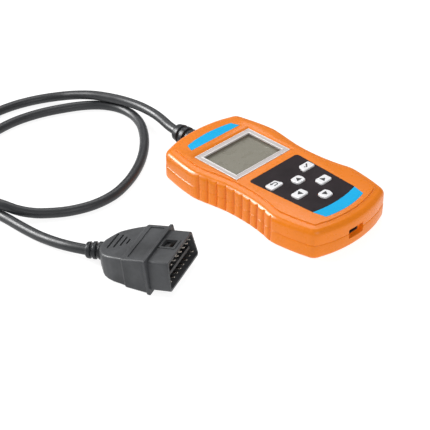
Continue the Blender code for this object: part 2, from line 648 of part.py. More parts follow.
def make_plug_housing():
    front = SHROUD_DEPTH + GAP
    stations = (                          # y, top half width, top z, bottom half width, edge radius, shift
        (front, 18.4, 10.1, 20.4, 1.2, 0.0), (front + 1.6, 18.4, 10.1, 20.4, 1.2, 0.0),
        (front + 1.9, 17.2, 9.6, 19.4, 1.6, 0.0), (26.0, 17.4, 9.3, 19.2, 1.6, 0.0),
        (27.4, 16.2, 8.9, 17.9, 1.6, -0.2), (34.0, 14.4, 8.5, 16.6, 1.7, -0.9),
        (40.0, 11.7, 8.2, 13.8, 1.9, -1.6), (42.5, 8.7, 8.1, 10.6, 2.2, -2.1),
        (44.5, 6.1, 7.9, 7.6, 2.8, -2.5))
    rings = [section(y, (top_half, top_z), (bottom_half, floor_height(y)), radius, shift=shift)
             for y, top_half, top_z, bottom_half, radius, shift in stations]
    rings.append(section(45.6, (5.6, 7.6), (5.6, floor_height(45.6) + 0.6), 4.8, shift=PLUG_RELIEF_ROOT[0]))
    housing = plug_piece(loft("plug_housing", rings, PLUG_GREY))
    cut(housing, plug_piece(box("cut_plug_panel", (-14.5, 15.4, 8.9), (14.5, 23.8, 12.0))))
    slots = [box("slot", (-half, y - 0.5, 7.6), (half, y + 0.5, 12.0))
             for half, y in ((7.0, 40.0), (6.2, 36.4), (4.3, 33.2), (2.3, 30.4))]
    cut(housing, plug_piece(many("cut_plug_slots", slots)))


def make_plug_shroud():
    outer = [section(y, SHROUD_TOP, SHROUD_BOTTOM, 1.6) for y in (0.0, SHROUD_DEPTH)]
    shroud = plug_piece(loft("plug_shroud", outer, SHROUD_GREY))
    top = (SHROUD_TOP[0] - SHROUD_WALL, SHROUD_TOP[1] - SHROUD_WALL)
    bottom = (SHROUD_BOTTOM[0] - SHROUD_WALL, SHROUD_BOTTOM[1] + SHROUD_WALL)
    cavity = [section(y, top, bottom, 1.0) for y in (-3.0, SHROUD_DEPTH - 1.6)]
    cut(shroud, plug_piece(loft("cut_shroud_cavity", cavity)))
    cut(shroud, plug_piece(box("cut_shroud_window", (-2.2, 3.6, 6.0), (4.4, 9.6, 10.0))))


def pin_places():
    """Pins 1 to 8 along the wide side, 9 to 16 along the narrow side."""
    for row, height in enumerate((-PIN_ROW_HEIGHT, PIN_ROW_HEIGHT)):
        for column in range(8):
            yield row * 8 + column + 1, (column - 3.5) * PIN_PITCH, height


def make_pins():
    back = SHROUD_DEPTH - 1.6 - GAP
    face = back - 2.6
    top = (SHROUD_TOP[0] - SHROUD_WALL - GAP, SHROUD_TOP[1] - SHROUD_WALL - GAP)
    bottom = (SHROUD_BOTTOM[0] - SHROUD_WALL - GAP, SHROUD_BOTTOM[1] + SHROUD_WALL + GAP)
    slab = [section(y, top, bottom, 0.8) for y in (face, back)]
    carrier = plug_piece(loft("pin_carrier", slab, CARRIER_BLACK))
    join(carrier, plug_piece(box("join_carrier_rib", (-12.5, 1.6, -0.9), (12.5, face + 0.5, 0.9))))
    half_x, half_z = PIN_SIZE[0] / 2, PIN_SIZE[1] / 2
    hole_x, hole_z = half_x + GAP, half_z + GAP
    holes = [box("hole", (x - hole_x, face - 1, z - hole_z), (x + hole_x, back + 1, z + hole_z))
             for _, x, z in pin_places()]
    cut(carrier, plug_piece(many("cut_pin_holes", holes)))
    for number, x, z in pin_places():
        tip = [(x + sx * 0.35, 0.9, z + sz * 0.2) for sx, sz in ((-1, -1), (1, -1), (1, 1), (-1, 1))]
        blade = [[(x + sx * half_x, y, z + sz * half_z) for sx, sz in ((-1, -1), (1, -1), (1, 1), (-1, 1))]
                 for y in (2.2, back)]
        plug_piece(loft(f"pin_{number:02d}", [tip, *blade], PIN_METAL))


def plug_relief_axis():
    """Where the plug's strain relief starts, and the way from there to the end of the lead."""
    root = (PLUG_FRAME @ (Vector(PLUG_RELIEF_ROOT) * MM)) / MM
    return root, Vector(CORD_ROUTE[-1]) - root


def make_plug_strain_relief():
    root, axis = plug_relief_axis()
    length = axis.length - GAP
    profile = [(length, 0.0), (length, 4.0), (length - 0.4, 4.6), (length - 2.0, 4.8), (length - 2.2, 3.7),
               (length - 3.4, 3.7), (length - 3.6, 4.9), (length - 5.2, 5.0), (length - 5.4, 3.8),
               (length - 6.6, 3.8), (length - 6.8, 5.0), (1.3, 5.0), (0.0, 3.6), (0.0, 0.0)]
    turned("plug_strain_relief", profile, root, axis, 20, CORD_RUBBER)


def make_lead():
    """The lead leaves the gland and enters the plug squarely, so each end has a short straight run."""
    points = smooth_route(CORD_ROUTE, CORD_SPACING)
    _, plug_axis = plug_relief_axis()
    points.insert(1, points[0] + Vector((0.0, 3.0, 0.0)))
    points.insert(-1, points[-1] + plug_axis.normalized() * 3.0)
    tube("obd_lead", points, CORD_RADIUS, 3, CORD_RUBBER)


clear_scene()
PARTS = add_collection(COLLECTION)
CUTTERS = add_collection("cutters")
ORANGE = make_material("orange_plastic", (0.86, 0.20, 0.02), 0.38)
ORANGE_REAR = make_material("orange_rear_plastic", (0.80, 0.17, 0.02), 0.42)
BLUE = make_material("blue_print", (0.01, 0.45, 0.83), 0.4)
BLUE_UPPER = make_material("blue_print_upper", (0.04, 0.48, 0.85), 0.4)
BLACK_LABEL = make_material("black_label", (0.035, 0.03, 0.034), 0.45)
KEY_WHITE = make_material("white_key", (0.85, 0.85, 0.87), 0.35)
SILVER = make_material("silver_frame", (0.72, 0.68, 0.67), 0.35)
CLEAR = make_material("clear_window", (0.40, 0.42, 0.38), 0.1)
LCD_GREY = make_material("lcd_glass", (0.28, 0.29, 0.24), 0.2)
WHITE_PLASTIC = make_material("white_plastic", (0.75, 0.74, 0.70), 0.5)
BOARD_GREEN = make_material("board_green", (0.02, 0.18, 0.06), 0.5)
CHIP_BLACK = make_material("chip_black", (0.02, 0.02, 0.022), 0.5)
SWITCH_STEEL = make_material("switch_body", (0.10, 0.10, 0.11), 0.5)
STEEL = make_material("plated_steel", (0.62, 0.62, 0.60), 0.3, 1.0)
PIN_METAL = make_material("pin_metal", (0.75, 0.72, 0.66), 0.25, 1.0)
PAPER = make_material("blank_label", (0.78, 0.79, 0.80), 0.5)
CORD_RUBBER = make_material("lead_rubber", (0.035, 0.037, 0.04), 0.42)
PLUG_GREY = make_material("plug_overmould", (0.055, 0.057, 0.06), 0.55)
SHROUD_GREY = make_material("plug_shroud_plastic", (0.07, 0.072, 0.076), 0.45)
CARRIER_BLACK = make_material("pin_carrier_plastic", (0.012, 0.012, 0.013), 0.5)
PLUG_FRAME = plug_matrix()

plan = case_outline()
key_shapes = key_outlines()
shared_cutters = make_shared_cutters()
make_front_housing(plan, key_shapes, shared_cutters)
make_rear_housing(plan, shared_cutters)
make_display()
make_labels(key_shapes)
make_keys(key_shapes)
make_board()
make_usb_socket()
make_screws()
make_gland()
make_plug_housing()
make_plug_shroud()
make_pins()
make_plug_strain_relief()
make_lead()
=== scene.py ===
import math

import bmesh
import bpy
from mathutils import Matrix, Vector


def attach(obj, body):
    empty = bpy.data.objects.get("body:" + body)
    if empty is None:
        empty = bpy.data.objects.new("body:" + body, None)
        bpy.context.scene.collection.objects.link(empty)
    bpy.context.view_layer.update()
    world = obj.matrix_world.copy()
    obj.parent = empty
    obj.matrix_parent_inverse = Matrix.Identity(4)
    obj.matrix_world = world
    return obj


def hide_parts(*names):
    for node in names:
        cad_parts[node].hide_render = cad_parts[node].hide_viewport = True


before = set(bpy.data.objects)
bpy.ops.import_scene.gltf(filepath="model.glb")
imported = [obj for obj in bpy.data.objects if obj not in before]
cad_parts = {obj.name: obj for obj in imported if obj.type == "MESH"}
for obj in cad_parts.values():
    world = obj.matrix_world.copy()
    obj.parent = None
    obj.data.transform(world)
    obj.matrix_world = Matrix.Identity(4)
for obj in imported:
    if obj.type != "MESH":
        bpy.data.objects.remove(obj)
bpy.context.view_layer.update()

MM = 0.001                   # lengths below are in millimetres

# ---- reader case ----
CASE_END = 64.8
CASE_HEIGHT = 20.0
PARTING_Z = 9.5
SEAM = 0.05                  # half of the fine gap between the two housings
WALL = 2.2
REAR_WALL = 3.1
CAVITY_TOP = 17.0
SIDE_STATIONS = (            # (y, half width) from one sharp corner of the plan to the other
    (59.0, 30.9), (50.0, 32.8), (41.0, 34.4), (31.0, 35.4), (24.0, 34.7), (15.0, 33.1), (6.0, 31.9),
    (-4.0, 31.7), (-13.0, 32.2), (-22.0, 33.5), (-31.0, 35.3), (-40.0, 34.5), (-49.0, 32.9),
    (-58.8, 30.5))
SIDE_SPACING = 0.45
CABLE_END_RADIUS = 85.0
PORT_END_RADIUS = 80.0
CORNER_RADIUS = 6.7
CORNER_STEPS = 14
TOP_EDGE_RADIUS = 3.8
BOTTOM_EDGE_RADIUS = 3.0
EDGE_STEPS = 12
BAND_INNER = 6.1
BAND_Z = 19.45
FLUTE_COUNT = 10
FLUTE_PITCH = 6.21
FLUTE_FIRST_Y = 26.2
FLUTE_DEPTH = 1.45
FLUTE_REACH = 40.0           # no flutes further than this from the middle of the case
SCREW_PLACES = ((25.0, 49.5), (-25.0, 49.5), (24.3, -50.5), (-24.3, -50.5))
FRONT_POST_RADIUS = 3.2
REAR_POST_RADIUS = 4.3
SCREW_HOLE_RADIUS = 1.5
SCREW_SEAT = (2.7, 2.9)      # upper end and radius of the recess for a screw's head
STICKER_RECESS = (20.3, 25.3, 4.0)   # half width, half length and middle y
UNDER_SKIN = 15.0            # cutters through the front skin start here
ABOVE_CASE = 22.0            # and end here
SHARP_ANGLE = math.radians(34)

# ---- display ----
LCD_Y = 23.9
FRAME_OUTER = (23.0, 17.1)
FRAME_Z = (18.3, 19.0)
FRAME_BAND = (0.6, 3.0)              # insets between which the frame's sunk, duller band lies; up-facing faces outside it take a lighter silver, a painted highlight
POCKET_FLOOR = 18.0
POCKET_SLOPE = 2.0
DISPLAY_OPENING = (20.4, 14.6)

# ---- keypad ----
LABEL_TOP_Z = 20.05
LABEL_THICKNESS = 0.3
LABEL_CLEARANCE = 0.1
KEYPAD_TOP = (20.5, -0.4)            # half width and y of the black label's upper edge
KEYPAD_BOTTOM = (17.8, -46.0)        # half width and y where black meets blue
LOWER_BAND_BOTTOM = (16.0, -53.8)
UPPER_BAND_LOW = (20.3, 46.2)
UPPER_BAND_HIGH = (18.5, 51.6)
BAND_SAG = 2.2
ARC_STEPS = 28
KEY_TOP_Z = 20.95
KEY_STEM_Z = 15.7
KEY_FLANGE_TOP = 16.7
KEY_CLEARANCE = 0.25

# ---- gland and USB port ----
GLAND_Z = 9.8
GLAND_END_Y = 80.2
PORT_X = -2.2                        # the port sits a little off the middle of the end wall
PORT_Z = 9.2
PORT_POCKET = (5.9, 3.0)
PORT_POCKET_DEPTH = 2.6
PORT_THROAT = (4.2, 2.4)
PORT_PAD = (8.5, 15.0)
PORT_PAD_Y = (-63.4, -60.8)

# ---- lead and plug ----
CORD_RADIUS = 3.0
CORD_SPACING = 2.4
CORD_STEPS = 24                      # steps on the curve between two points of the route
FLOOR = CORD_RADIUS + 0.10           # height of the lead's centre where it lies on the table
CORD_ROUTE = (
    (0.0, 80.5, 9.8), (0.9, 88.0, 9.9), (2.7, 95.2, 9.9), (4.2, 102.6, 9.9), (4.8, 110.5, 9.9),
    (4.6, 118.0, 9.9), (3.5, 126.0, 9.8), (1.5, 134.0, 9.7), (-1.7, 142.5, 9.6), (-6.0, 152.2, 9.0),
    (-11.2, 162.6, 7.2), (-18.4, 173.2, 4.8), (-29.5, 182.0, 3.3), (-44.0, 186.9, FLOOR),
    (-59.0, 188.4, FLOOR), (-75.5, 187.4, FLOOR), (-92.5, 182.4, FLOOR), (-107.6, 173.3, FLOOR),
    (-119.0, 160.8, 4.0), (-127.0, 146.4, 7.0), (-131.2, 131.0, 9.2), (-130.7, 115.6, 9.7),
    (-127.8, 103.5, 9.6), (-124.0, 93.6, 8.9), (-118.8, 85.8, 6.3), (-112.2, 79.8, 4.2),
    (-104.6, 74.2, 3.3), (-95.6, 68.4, FLOOR), (-82.5, 63.6, FLOOR), (-68.0, 63.0, FLOOR),
    (-54.0, 66.8, FLOOR), (-41.0, 73.0, FLOOR), (-29.2, 80.9, FLOOR), (-18.4, 90.4, FLOOR),
    (-9.0, 101.2, FLOOR), (-2.0, 112.4, FLOOR), (1.6, 123.8, FLOOR), (1.2, 135.2, FLOOR),
    (-3.6, 145.8, FLOOR), (-12.2, 154.2, FLOOR), (-24.5, 161.2, FLOOR), (-39.3, 167.2, FLOOR),
    (-56.0, 170.4, FLOOR), (-73.0, 169.6, FLOOR), (-90.0, 165.0, FLOOR), (-105.8, 156.0, FLOOR),
    (-118.5, 143.6, FLOOR), (-126.2, 129.5, FLOOR), (-128.8, 115.0, FLOOR), (-127.2, 101.0, FLOOR),
    (-125.8, 87.5, FLOOR), (-124.9, 74.0, FLOOR), (-123.7, 61.8, 3.4), (-121.9, 50.2, 4.4),
    (-119.3, 40.0, 5.4), (-115.3, 30.4, 6.0))
PLUG_RELIEF_ROOT = (-2.0, 46.6, 2.35)    # in the plug's own frame
PLUG_MOUTH = (-91.0, -19.2, 12.4)
PLUG_HEADING = math.radians(22.0)
PLUG_TILT = math.radians(10.0)
SHROUD_DEPTH = 11.8
SHROUD_TOP = (15.6, 8.4)
SHROUD_BOTTOM = (18.4, -8.4)
SHROUD_WALL = 1.3
PLUG_SLOTS = ((7.0, 40.0), (6.2, 36.6), (4.3, 33.4), (2.3, 30.6))    # half width and y
PIN_NODES = [f"pin_{number:02d}" for number in range(1, 17)]

# ---- camera ----
CAMERA_TARGET = (-57.3, -9.9, 20.0)
CAMERA_DISTANCE = 648.0
CAMERA_HEADING = math.radians(45.24)
CAMERA_ELEVATION = math.radians(35.34)
CAMERA_LENS = 99.7


# ------------------------------------------------------------------ materials
def new_material(name, color, roughness, metallic=0.0, coat=0.0, specular=0.5):
    material = bpy.data.materials.new(name)
    material.use_nodes = True
    shader = material.node_tree.nodes["Principled BSDF"]
    shader.inputs["Base Color"].default_value = (*color, 1.0)
    shader.inputs["Roughness"].default_value = roughness
    shader.inputs["Metallic"].default_value = metallic
    shader.inputs["Specular IOR Level"].default_value = specular
    shader.inputs["Coat Weight"].default_value = coat
    shader.inputs["Coat Roughness"].default_value = 0.08
    material.diffuse_color = (*color, 1.0)
    return material


def noise_of(material, per_metre, detail=4.0, stretch=(1.0, 1.0, 1.0)):
    """A noise node in the piece's own coordinates; per_metre is its features' number in a metre."""
    tree = material.node_tree
    place = tree.nodes.new("ShaderNodeTexCoord")
    mapping = tree.nodes.new("ShaderNodeMapping")
    mapping.inputs["Scale"].default_value = stretch
    noise = tree.nodes.new("ShaderNodeTexNoise")
    noise.inputs["Scale"].default_value = per_metre
    noise.inputs["Detail"].default_value = detail
    noise.inputs["Roughness"].default_value = 0.6
    tree.links.new(place.outputs["Object"], mapping.inputs["Vector"])
    tree.links.new(mapping.outputs["Vector"], noise.inputs["Vector"])
    return noise


def vary_color(material, low, high, per_metre):
    """Let the colour drift between low and high."""
    tree = material.node_tree
    noise = noise_of(material, per_metre, 5.0)
    ramp = tree.nodes.new("ShaderNodeValToRGB")
    for stop, position, color in zip(ramp.color_ramp.elements, (0.35, 0.65), (low, high)):
        stop.position = position
        stop.color = (*color, 1.0)
    tree.links.new(noise.outputs["Fac"], ramp.inputs["Fac"])
    tree.links.new(ramp.outputs["Color"], tree.nodes["Principled BSDF"].inputs["Base Color"])


def vary_roughness(material, low, high, per_metre):
    tree = material.node_tree
    noise = noise_of(material, per_metre)
    spread = tree.nodes.new("ShaderNodeMapRange")
    spread.inputs["From Min"].default_value = 0.3
    spread.inputs["From Max"].default_value = 0.7
    spread.inputs["To Min"].default_value = low
    spread.inputs["To Max"].default_value = high
    tree.links.new(noise.outputs["Fac"], spread.inputs["Value"])
    tree.links.new(spread.outputs["Result"], tree.nodes["Principled BSDF"].inputs["Roughness"])


def add_grain(material, per_metre, strength, depth_mm, stretch=(1.0, 1.0, 1.0)):
    tree = material.node_tree
    noise = noise_of(material, per_metre, 3.0, stretch)
    bump = tree.nodes.new("ShaderNodeBump")
    bump.inputs["Strength"].default_value = strength
    bump.inputs["Distance"].default_value = depth_mm * MM
    tree.links.new(noise.outputs["Fac"], bump.inputs["Height"])
    tree.links.new(bump.outputs["Normal"], tree.nodes["Principled BSDF"].inputs["Normal"])


def moulded(name, color, roughness, tone=0.06, grain=0.25, grain_per_metre=2600, **more):
    """A moulded plastic: a faint drift of tone, uneven gloss and a fine grain."""
    material = new_material(name, color, roughness, **more)
    low = [channel * (1 - tone) for channel in color]
    high = [min(1.0, channel * (1 + tone)) for channel in color]
    vary_color(material, low, high, 45)
    vary_roughness(material, roughness * 0.85, roughness * 1.15, 160)
    add_grain(material, grain_per_metre, grain, 0.05)
    return material


def make_lcd_material():
    """Grey-green display glass with the faint cells of a character display."""
    material = new_material("lcd_glass_look", (0.30, 0.31, 0.26), 0.28, coat=0.3)
    tree = material.node_tree
    place = tree.nodes.new("ShaderNodeTexCoord")
    cells = tree.nodes.new("ShaderNodeTexBrick")
    cells.offset = 0.0
    cells.inputs["Scale"].default_value = 1.0
    cells.inputs["Brick Width"].default_value = 0.5 * MM
    cells.inputs["Row Height"].default_value = 0.5 * MM
    cells.inputs["Mortar Size"].default_value = 0.03 * MM
    cells.inputs["Color1"].default_value = (0.305, 0.285, 0.222, 1.0)
    cells.inputs["Color2"].default_value = (0.296, 0.277, 0.216, 1.0)
    cells.inputs["Mortar"].default_value = (0.328, 0.308, 0.245, 1.0)
    tree.links.new(place.outputs["Object"], cells.inputs["Vector"])
    tree.links.new(cells.outputs["Color"], tree.nodes["Principled BSDF"].inputs["Base Color"])
    vary_roughness(material, 0.24, 0.34, 120)
    return material


def make_materials():
    looks = {
        "orange": moulded("orange_shell_look", (0.90, 0.230, 0.008), 0.28, 0.025, 0.04, 2200, specular=0.30),
        "silver": moulded("silver_frame_look", (0.57, 0.53, 0.52), 0.40, 0.03, 0.15, 3000),
        # a lighter copy of the frame's silver for its up-facing lips: a painted highlight
        "painted_highlight_silver": moulded("painted_highlight_silver_look", (0.88, 0.85, 0.84), 0.30, 0.02, 0.10, 3000),
        "black_film": moulded("black_film_look", (0.022, 0.015, 0.018), 0.52, 0.30, 0.45, 1500,
                              specular=0.12),
        "blue_film": moulded("blue_film_look", (0.002, 0.45, 0.84), 0.45, 0.04, 0.20, 1800, specular=0.12),
        "key": moulded("white_key_look", (0.90, 0.90, 0.92), 0.30, 0.02, 0.10, 2000, coat=0.2),
        "symbol": moulded("symbol_ink_look", (0.012, 0.012, 0.014), 0.45, 0.10, 0.10),
        "rubber": moulded("lead_jacket_look", (0.026, 0.028, 0.031), 0.42, 0.12, 0.15, 1400, specular=0.4),
        "gland": moulded("gland_rubber_look", (0.020, 0.022, 0.025), 0.38, 0.12, 0.20, 1500, specular=0.35),
        "plug": moulded("plug_overmould_look", (0.066, 0.068, 0.072), 0.46, 0.30, 0.60, 1700, specular=0.24),
        "shroud": moulded("plug_shroud_look", (0.062, 0.064, 0.068), 0.44, 0.28, 0.50, 1900, specular=0.28),
        "carrier": moulded("pin_carrier_look", (0.010, 0.010, 0.011), 0.50, 0.15, 0.40),
        "white_moulding": moulded("white_moulding_look", (0.72, 0.71, 0.66), 0.50),
        "board": moulded("circuit_board_look", (0.015, 0.16, 0.05), 0.35, 0.15, 0.30, 900),
        "chip": moulded("chip_package_look", (0.018, 0.018, 0.020), 0.50, 0.15, 0.50),
        "label": moulded("blank_label_look", (0.74, 0.75, 0.77), 0.38, 0.02, 0.20, 1200),
        "steel": new_material("plated_steel_look", (0.60, 0.60, 0.58), 0.28, metallic=1.0),
        "pin": new_material("pin_metal_look", (0.58, 0.53, 0.47), 0.26, metallic=1.0),
        "lcd": make_lcd_material(),
        "window": new_material("clear_window_look", (0.32, 0.31, 0.27), 0.06),
    }
    for name, per_metre in (("steel", 900), ("pin", 1600)):
        vary_roughness(looks[name], 0.20, 0.36, per_metre)
        add_grain(looks[name], 700, 0.15, 0.02, (1.0, 8.0, 1.0))
    vary_roughness(looks["window"], 0.05, 0.09, 200)
    looks["window"].node_tree.nodes["Principled BSDF"].inputs["Alpha"].default_value = 0.12
    return looks


# ------------------------------------------------------------------ meshes
def finish_mesh(piece):
    piece.data.shade_smooth()
    piece.data.set_sharp_from_angle(angle=SHARP_ANGLE)
    return piece


def piece_from(bm, name, look=None):
    bmesh.ops.recalc_face_normals(bm, faces=bm.faces)
    mesh = bpy.data.meshes.new(name)
    bm.to_mesh(mesh)
    bm.free()
    piece = bpy.data.objects.new(name, mesh)
    bpy.context.scene.collection.objects.link(piece)
    if look is not None:
        mesh.materials.append(look)
    return finish_mesh(piece)


def loft(name, rings, look=None, closed=False):
    """A solid through rings of (x, y, z) in millimetres: capped, or closed into a loop."""
    bm = bmesh.new()
    loops = [[bm.verts.new(Vector(point) * MM) for point in ring] for ring in rings]
    count = len(loops[0])
    pairs = list(zip(loops, loops[1:]))
    if closed:
        pairs.append((loops[-1], loops[0]))
    for lower, upper in pairs:
        for i in range(count):
            j = (i + 1) % count
            bm.faces.new((lower[i], lower[j], upper[j], upper[i]))
    if not closed:
        bm.faces.new(reversed(loops[0]))
        bm.faces.new(loops[-1])
    return piece_from(bm, name, look)


def prism(name, outline, z_low, z_high, look=None, edge=0.0):
    """An upright prism; edge rounds its upper rim."""
    rings = [[(x, y, z_low) for x, y in outline]]
    if edge:
        rings += quarter_round(outline, z_high - edge, edge, 4)
    else:
        rings.append([(x, y, z_high) for x, y in outline])
    return loft(name, rings, look)


def box(name, low, high):
    outline = [(low[0], low[1]), (high[0], low[1]), (high[0], high[1]), (low[0], high[1])]
    return prism(name, outline, low[2], high[2])


def circle(radius, sides):
    turns = [2 * math.pi * i / sides for i in range(sides)]
    return [(radius * math.cos(a), radius * math.sin(a)) for a in turns]


def cylinder(name, centre, z_low, z_high, radius):
    outline = [(centre[0] + x, centre[1] + y) for x, y in circle(radius, 40)]
    return prism(name, outline, z_low, z_high)


def turned(name, profile, start, direction, sides, look=None):
    """A turned solid from (distance along the axis, radius) pairs."""
    rings = [[(x, y, along) for x, y in circle(radius, sides)] for along, radius in profile]
    piece = loft(name, rings, look)
    spin = Vector(direction).to_track_quat("Z", "Y").to_matrix().to_4x4()
    piece.data.transform(Matrix.Translation(Vector(start) * MM) @ spin)
    return piece


def gathered(name, cutters):
    """One cutter out of several solids that don't touch."""
    bm = bmesh.new()
    for cutter in cutters:
        bm.from_mesh(cutter.data)
        discard(cutter)
    return piece_from(bm, name)


def discard(piece):
    mesh = piece.data
    bpy.data.objects.remove(piece)
    bpy.data.meshes.remove(mesh)


def shaped(piece, operation, *tools):
    """The piece with the tools cut away from it or joined to it; the tools are used up."""
    for tool in tools:
        modifier = piece.modifiers.new("Shape", "BOOLEAN")
        modifier.operation = operation
        modifier.object = tool
        modifier.solver = "EXACT"
        graph = bpy.context.evaluated_depsgraph_get()
        result = bpy.data.meshes.new_from_object(piece.evaluated_get(graph))
        piece.modifiers.clear()
        piece.data = result
        discard(tool)
    return finish_mesh(piece)


def cut(piece, *tools):
    return shaped(piece, "DIFFERENCE", *tools)


def join(piece, *tools):
    return shaped(piece, "UNION", *tools)


def place(piece, body, slot, *nodes):
    """The piece rides on the body and stands for the CAD nodes, which it hides; slot is not used."""
    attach(piece, body)
    if nodes:
        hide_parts(*nodes)
    return piece


# ------------------------------------------------------------------ outlines
def half_width(y):
    """Half of the case's width at y: a smooth curve through the side stations."""
    last = len(SIDE_STATIONS) - 2
    i = next((n for n in range(last) if y >= SIDE_STATIONS[n + 1][0]), last)
    (y1, w1), (y2, w2) = SIDE_STATIONS[i], SIDE_STATIONS[i + 1]
    y0, w0 = SIDE_STATIONS[max(i - 1, 0)]
    y3, w3 = SIDE_STATIONS[min(i + 2, last + 1)]
    slope1 = (w2 - w0) / (y2 - y0)
    slope2 = (w3 - w1) / (y3 - y1)
    span = y2 - y1
    t = (y - y1) / span
    return ((2 * t**3 - 3 * t**2 + 1) * w1 + (t**3 - 2 * t**2 + t) * span * slope1
            + (3 * t**2 - 2 * t**3) * w2 + (t**3 - t**2) * span * slope2)


def arc_y(x, end_y, radius):
    """y of a curved end wall at x, for an arc whose furthest point is end_y."""
    return end_y - math.copysign(radius - math.sqrt(radius**2 - x**2), end_y)


def fillet(before, corner, after, radius, steps):
    """Points of an arc that rounds a corner between two straight directions."""
    a = (Vector(before) - Vector(corner)).normalized()
    b = (Vector(after) - Vector(corner)).normalized()
    half = a.angle(b) / 2
    reach = radius / math.tan(half)
    middle = Vector(corner) + (a + b).normalized() * radius / math.sin(half)
    start = Vector(corner) + a * reach - middle
    end = Vector(corner) + b * reach - middle
    turn = start.angle_signed(end)
    points = []
    for i in range(steps + 1):
        spin = Matrix.Rotation(-turn * i / steps, 2)
        points.append(tuple(middle + spin @ start))
    return points


def rounded_polygon(corners, radius, steps=6):
    points = []
    count = len(corners)
    for i, corner in enumerate(corners):
        points += fillet(corners[i - 1], corner, corners[(i + 1) % count], radius, steps)
    return points


def softened(points, radius, steps=4):
    """An open profile with its inner corners rounded, as far as the room allows."""
    soft = [points[0]]
    for before, corner, after in zip(points, points[1:], points[2:]):
        a, b = Vector(before) - Vector(corner), Vector(after) - Vector(corner)
        room = 0.45 * min(a.length, b.length)
        limit = room * math.tan(a.angle(b) / 2)
        if a.angle(b) > math.radians(176):
            soft.append(corner)
        else:
            soft += fillet(before, corner, after, min(radius, limit), steps)
    return soft + [points[-1]]


def outward_steps(outline):
    """For each point, the step that moves it one millimetre off the anticlockwise outline."""
    steps = []
    count = len(outline)
    for i, point in enumerate(outline):
        before = (Vector(point) - Vector(outline[i - 1])).normalized()
        after = (Vector(outline[(i + 1) % count]) - Vector(point)).normalized()
        normal = before + after
        normal = Vector((normal.y, -normal.x)).normalized()
        steps.append(normal / max(0.5, normal.dot(Vector((before.y, -before.x)))))
    return steps


def offset_outline(outline, distance):
    return [tuple(Vector(point) + step * distance)
            for point, step in zip(outline, outward_steps(outline))]


def mirrored(points):
    return [(-x, y) for x, y in reversed(points)]


def spread(start, end, spacing):
    """Evenly spaced numbers from start to end."""
    count = max(1, round(abs(end - start) / spacing))
    return [start + (end - start) * i / count for i in range(count + 1)]


def case_outline():
    """Plan of the case, anticlockwise from the middle of the port end."""
    (top_y, top_x), (low_y, low_x) = SIDE_STATIONS[0], SIDE_STATIONS[-1]
    port_end = [(x, arc_y(x, -CASE_END, PORT_END_RADIUS)) for x in spread(0.0, 20.0, 2.0)]
    cable_end = [(x, arc_y(x, CASE_END, CABLE_END_RADIUS)) for x in spread(20.0, 0.0, 2.0)]
    side_low, side_top = low_y + CORNER_RADIUS + 1.5, top_y - CORNER_RADIUS - 1.5
    side = [(half_width(y), y) for y in spread(side_low, side_top, SIDE_SPACING)]
    low_corner = fillet(port_end[-1], (low_x, low_y), side[0], CORNER_RADIUS, CORNER_STEPS)
    top_corner = fillet(side[-1], (top_x, top_y), cable_end[0], CORNER_RADIUS, CORNER_STEPS)
    right = port_end + low_corner + side + top_corner + cable_end
    return right + mirrored(right[1:-1])


def rectangle(half_x, half_y, centre_y):
    return [(-half_x, centre_y - half_y), (half_x, centre_y - half_y),
            (half_x, centre_y + half_y), (-half_x, centre_y + half_y)]


def sagging_edge(half, y, sag):
    """Points from left to right on a shallow arc; its middle lies sag below its ends."""
    return [(x, y - sag * (1 - (x / half) ** 2)) for x in spread(-half, half, 2 * half / ARC_STEPS)]


def keypad_outline():
    lower = sagging_edge(*KEYPAD_BOTTOM, BAND_SAG)
    half, y = KEYPAD_TOP
    right = fillet(lower[-1], (half, y), (-half, y), 2.0, 8)
    return lower + right + mirrored(right)


def lower_band_outline():
    lower = sagging_edge(*LOWER_BAND_BOTTOM, BAND_SAG)
    upper = sagging_edge(KEYPAD_BOTTOM[0], KEYPAD_BOTTOM[1] - 0.02, BAND_SAG)
    return lower + list(reversed(upper))


def lower_label_outline():
    """The black and the blue film together, as one recess holds them."""
    keypad = keypad_outline()
    return sagging_edge(*LOWER_BAND_BOTTOM, BAND_SAG) + keypad[ARC_STEPS:] + keypad[:1]


def upper_band_outline():
    upper = sagging_edge(*UPPER_BAND_HIGH, -BAND_SAG)
    half, y = UPPER_BAND_LOW
    return [(-half, y), (half, y)] + list(reversed(upper))


def key_outlines():
    back = rounded_polygon([(-18.4, -16.3), (-8.2, -16.3), (-10.3, -10.7), (-18.4, -10.7)], 1.0)
    left = rounded_polygon([(-14.7, -32.4), (-5.4, -32.4), (-5.9, -26.6), (-14.7, -26.6)], 1.2)
    barrel = [(-3.2, -3.1), (3.2, -3.1), (4.0, 0.0), (3.2, 3.1), (-3.2, 3.1), (-4.0, 0.0)]
    up = rounded_polygon([(x, y - 19.4) for x, y in barrel], 1.4)
    down = rounded_polygon([(x, y - 39.7) for x, y in barrel], 1.4)
    return {"back": back, "confirm": mirrored(back), "up": up, "left": left,
            "right": mirrored(left), "down": down}


def outline_centre(outline):
    low = [min(point[axis] for point in outline) for axis in (0, 1)]
    high = [max(point[axis] for point in outline) for axis in (0, 1)]
    return (low[0] + high[0]) / 2, (low[1] + high[1]) / 2


def quarter_round(outline, centre_z, radius, steps):
    """Rings of a rounded upper rim, from the upright wall to the flat face."""
    rings = []
    for i in range(steps + 1):
        angle = math.pi / 2 * i / steps
        moved = offset_outline(outline, -radius * (1 - math.cos(angle)))
        z = centre_z + radius * math.sin(angle)
        rings.append([(x, y, z) for x, y in moved])
    return rings


# ------------------------------------------------------------------ reader case
def flute_depth(y):
    """How deep the side wall is cut at y: rounded ribs with narrow valleys between them."""
    number = min(FLUTE_COUNT - 1, max(0, round((FLUTE_FIRST_Y - y) / FLUTE_PITCH)))
    away = abs(y - (FLUTE_FIRST_Y - FLUTE_PITCH * number))
    return FLUTE_DEPTH * max(0.0, 1.0 - 2.0 * away / FLUTE_PITCH) ** 2.6


